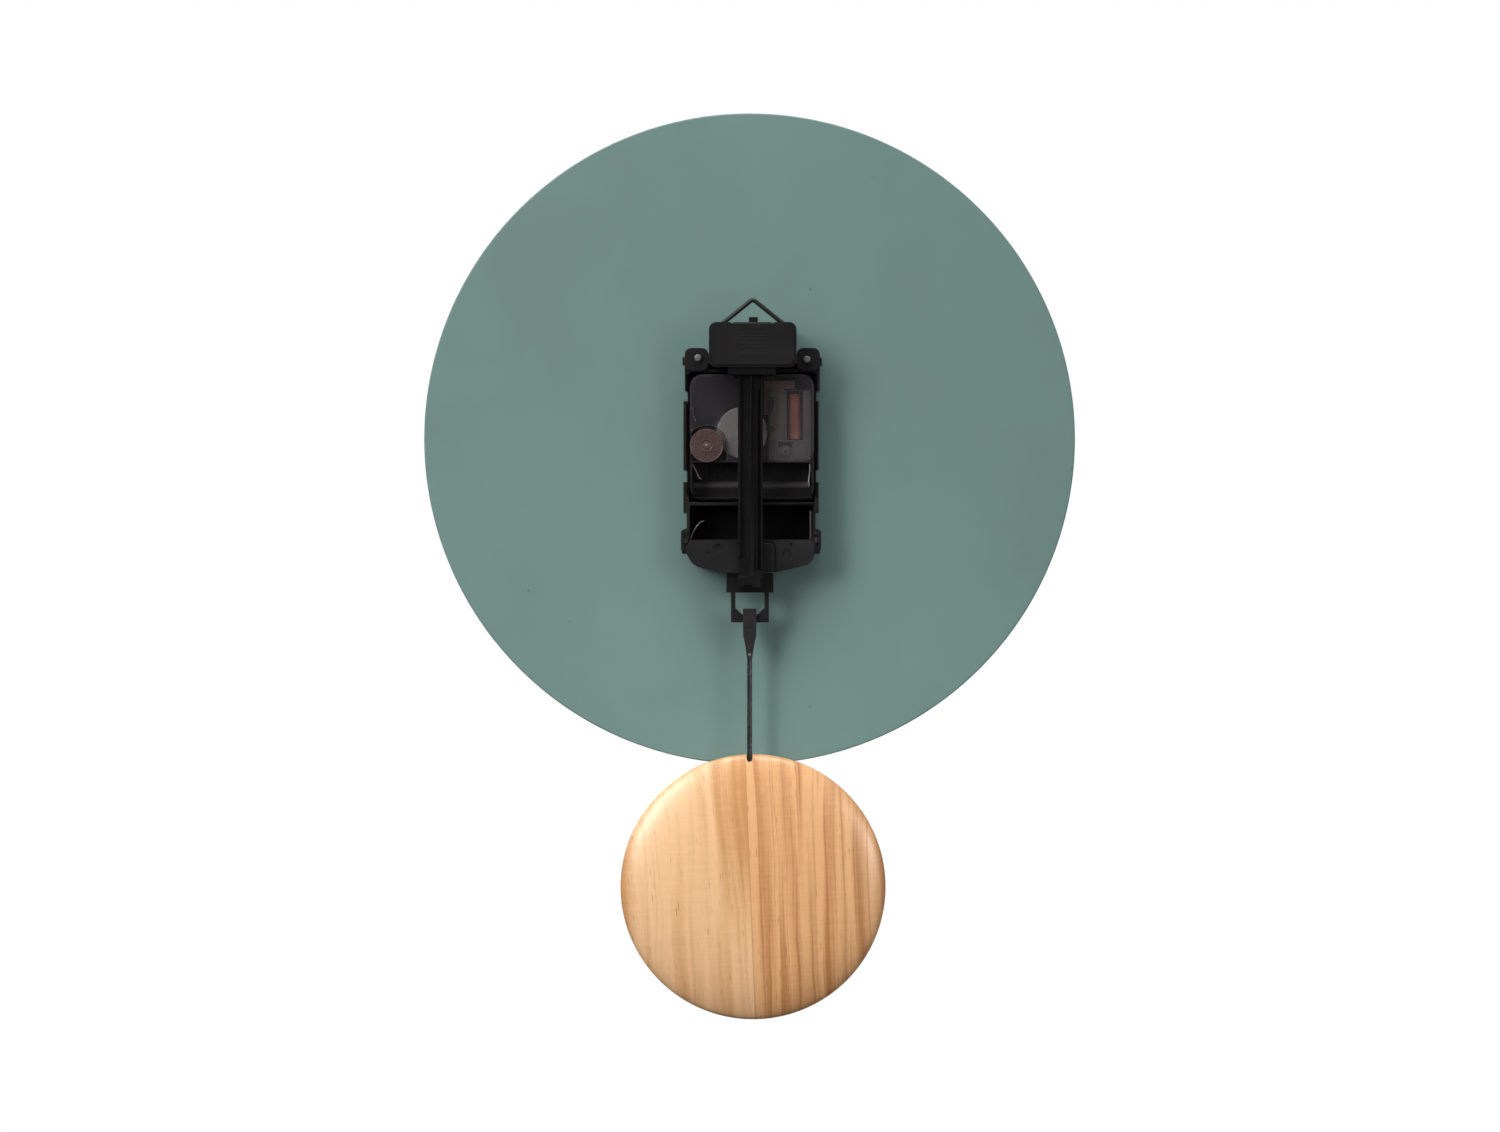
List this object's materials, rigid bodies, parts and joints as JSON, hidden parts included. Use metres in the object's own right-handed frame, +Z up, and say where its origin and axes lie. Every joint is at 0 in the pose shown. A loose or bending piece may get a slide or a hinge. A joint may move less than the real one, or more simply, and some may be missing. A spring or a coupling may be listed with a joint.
{
  "type": "pendulum wall clock",
  "caption": "Round wall clock on a painted board with a quartz movement in a black carrier, a hanging loop and a swinging pendulum with a lens-shaped wooden bob.",
  "frame": {"origin": "inner apex of the hanging loop, where a wall nail's underside rests", "axes": "+Z up; +Y towards the wall, so the dial faces -Y; +X is to the right when the dial is seen from the front"},
  "size_m": [0.3, 0.0435, 0.4159],
  "materials": {
    "teal_paint": "satin grey-teal paint on fibreboard",
    "rubber": "soft black rubber ring",
    "brass": "plain turned brass",
    "black_plastic": "black moulded plastic with a light satin sheen",
    "pin_steel": "bright steel pins",
    "black_wire": "black finished steel wire",
    "smoked_plastic": "smoked see-through plastic",
    "white_plastic": "white moulded plastic",
    "board": "brown circuit board",
    "copper": "enamelled copper wire",
    "contact_steel": "plated sheet steel",
    "knob_plastic": "dark ribbed plastic",
    "wood": "oiled softwood with a clear lacquer",
    "hand_paint": "off-white painted sheet metal"
  },
  "bodies": {
    "clock_case": {"dial_disc": "teal_paint", "dial_gasket": "rubber", "shaft_washer": "brass", "shaft_nut": "brass", "carrier_frame": "black_plastic", "ear_rivet_a": "pin_steel", "ear_rivet_b": "pin_steel", "pivot_cover": "black_plastic", "hanging_loop": "black_wire", "pivot_pin": "pin_steel", "module_case": "black_plastic", "module_cover": "smoked_plastic", "middle_plate": "white_plastic", "circuit_board": "board", "quartz_crystal": "pin_steel", "coil_bobbin": "black_plastic", "coil_winding": "copper", "stator": "contact_steel", "module_negative_contact": "contact_steel", "module_positive_contact": "contact_steel", "drive_negative_contact": "contact_steel", "drive_positive_contact": "contact_steel", "drive_cover": "black_plastic", "drive_coil": "copper", "drive_board": "board"},
    "pendulum": {"pendulum_arm": "black_plastic", "rod_yoke": "black_plastic", "swing_magnet": "contact_steel"},
    "rod_and_bob": {"rod_hook": "black_plastic", "pendulum_rod": "black_wire", "rod_rivet": "pin_steel", "bob_disc": "wood"},
    "seconds": {"seconds_wheel": "white_plastic", "second_hand": "brass"},
    "minutes": {"centre_wheel": "white_plastic", "minute_hand": "hand_paint", "minute_hand_nut": "brass"},
    "hours": {"hour_wheel": "white_plastic", "hour_hand": "hand_paint"},
    "third": {"third_wheel": "white_plastic"},
    "intermediate": {"intermediate_wheel": "white_plastic"},
    "motor_rotor": {"rotor": "pin_steel"},
    "motion_work": {"minute_wheel": "white_plastic"},
    "setting_idler": {"idler_wheel": "white_plastic"},
    "knob": {"setting_knob": "knob_plastic"}
  },
  "joints": [
    {"name": "pendulum_swing", "type": "hinge", "parent": "clock_case", "child": "pendulum", "pos_m": [-0.0009, -0.00155, -0.0191], "axis": [0, 1, 0], "range_deg": [-6, 6]},
    {"name": "bob_rock", "type": "hinge", "parent": "pendulum", "child": "rod_and_bob", "pos_m": [0, -0.00795, -0.14155], "axis": [1, 0, 0], "range_deg": [-5, 2.5]},
    {"name": "seconds_turn", "type": "hinge", "parent": "clock_case", "child": "seconds", "pos_m": [0, -0.01035, -0.0609], "axis": [0, 1, 0], "continuous": true},
    {"name": "minutes_turn", "type": "hinge", "parent": "clock_case", "child": "minutes", "pos_m": [0, -0.01335, -0.0609], "axis": [0, 1, 0], "continuous": true},
    {"name": "hours_turn", "type": "hinge", "parent": "clock_case", "child": "hours", "pos_m": [0, -0.01535, -0.0609], "axis": [0, 1, 0], "continuous": true},
    {"name": "third_turn", "type": "hinge", "parent": "clock_case", "child": "third", "pos_m": [-0.00526, -0.01135, -0.0645], "axis": [0, 1, 0], "continuous": true},
    {"name": "intermediate_turn", "type": "hinge", "parent": "clock_case", "child": "intermediate", "pos_m": [0.00346, -0.00895, -0.05853], "axis": [0, 1, 0], "continuous": true},
    {"name": "rotor_turn", "type": "hinge", "parent": "clock_case", "child": "motor_rotor", "pos_m": [-0.01006, -0.01135, -0.05702], "axis": [0, 1, 0], "continuous": true},
    {"name": "motion_work_turn", "type": "hinge", "parent": "clock_case", "child": "motion_work", "pos_m": [0.00577, -0.01485, -0.0645], "axis": [0, 1, 0], "continuous": true},
    {"name": "idler_turn", "type": "hinge", "parent": "clock_case", "child": "setting_idler", "pos_m": [0.01368, -0.01435, -0.06613], "axis": [0, 1, 0], "continuous": true},
    {"name": "knob_turn", "type": "hinge", "parent": "clock_case", "child": "knob", "pos_m": [0.0196, -0.01035, -0.0647], "axis": [0, 1, 0], "continuous": true}
  ],
  "couplings": [
    {"joint": "intermediate_turn", "follows": "seconds_turn", "ratio": -6},
    {"joint": "rotor_turn", "follows": "seconds_turn", "ratio": 30},
    {"joint": "third_turn", "follows": "seconds_turn", "ratio": -0.13333},
    {"joint": "minutes_turn", "follows": "seconds_turn", "ratio": 0.016667},
    {"joint": "motion_work_turn", "follows": "seconds_turn", "ratio": -0.0055556},
    {"joint": "hours_turn", "follows": "seconds_turn", "ratio": 0.0013889},
    {"joint": "idler_turn", "follows": "seconds_turn", "ratio": 0.0095238},
    {"joint": "knob_turn", "follows": "seconds_turn", "ratio": -0.0090909}
  ]
}
